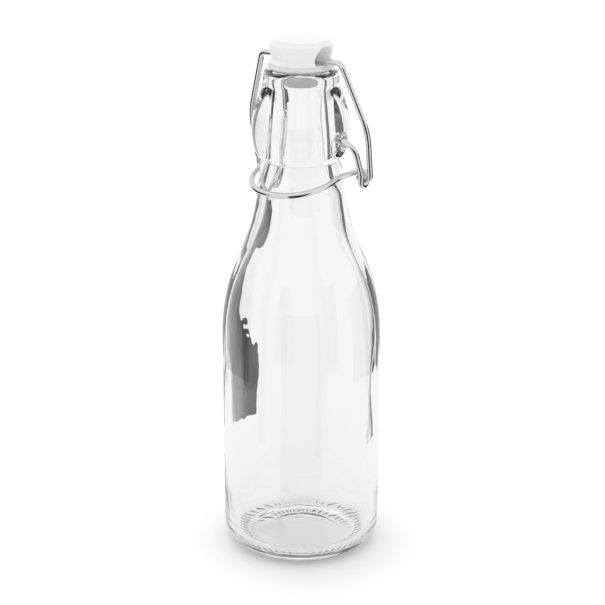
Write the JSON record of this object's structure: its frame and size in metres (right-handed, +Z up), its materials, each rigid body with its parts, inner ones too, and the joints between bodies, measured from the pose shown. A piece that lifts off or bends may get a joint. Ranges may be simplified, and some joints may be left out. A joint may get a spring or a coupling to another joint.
{
  "type": "swing-top bottle",
  "caption": "Small clear glass swing-top bottle with a white plastic stopper, a soft sealing ring and a two-wire lever closure.",
  "frame": {"origin": "on the bottle's axis at its resting plane", "axes": "+Z up along the bottle's axis; the lever's pivot is along X and its bow is in front at -Y"},
  "size_m": [0.06, 0.06, 0.1974],
  "materials": {
    "clear_glass": "clear, fire-polished outside, slightly wavy inside",
    "white_plastic": "satin moulded",
    "silicone": "translucent white, soft",
    "steel_wire": "bright drawn stainless wire"
  },
  "bodies": {
    "bottle": {"bottle": "clear_glass"},
    "lever": {"lever": "steel_wire"},
    "bail": {"bail": "steel_wire"},
    "stopper": {"stopper": "white_plastic", "gasket": "silicone"}
  },
  "joints": [
    {"name": "lever_pivot", "type": "hinge", "parent": "bottle", "child": "lever", "pos_m": [0, 0, 0.1625], "axis": [-1, 0, 0], "range_deg": [0, 93], "deforming": ["gasket"]},
    {"name": "bail_pivot", "type": "hinge", "parent": "lever", "child": "bail", "pos_m": [0, 0.0072, 0.1477], "axis": [-1, 0, 0], "range_deg": [-60.45, 0]},
    {"name": "stopper_pivot", "type": "hinge", "parent": "bail", "child": "stopper", "pos_m": [0, 0, 0.1905], "axis": [-1, 0, 0], "range_deg": [-32.55, 0]}
  ],
  "couplings": [
    {"joint": "bail_pivot", "follows": "lever_pivot", "ratio": -0.65},
    {"joint": "stopper_pivot", "follows": "lever_pivot", "ratio": -0.35}
  ]
}
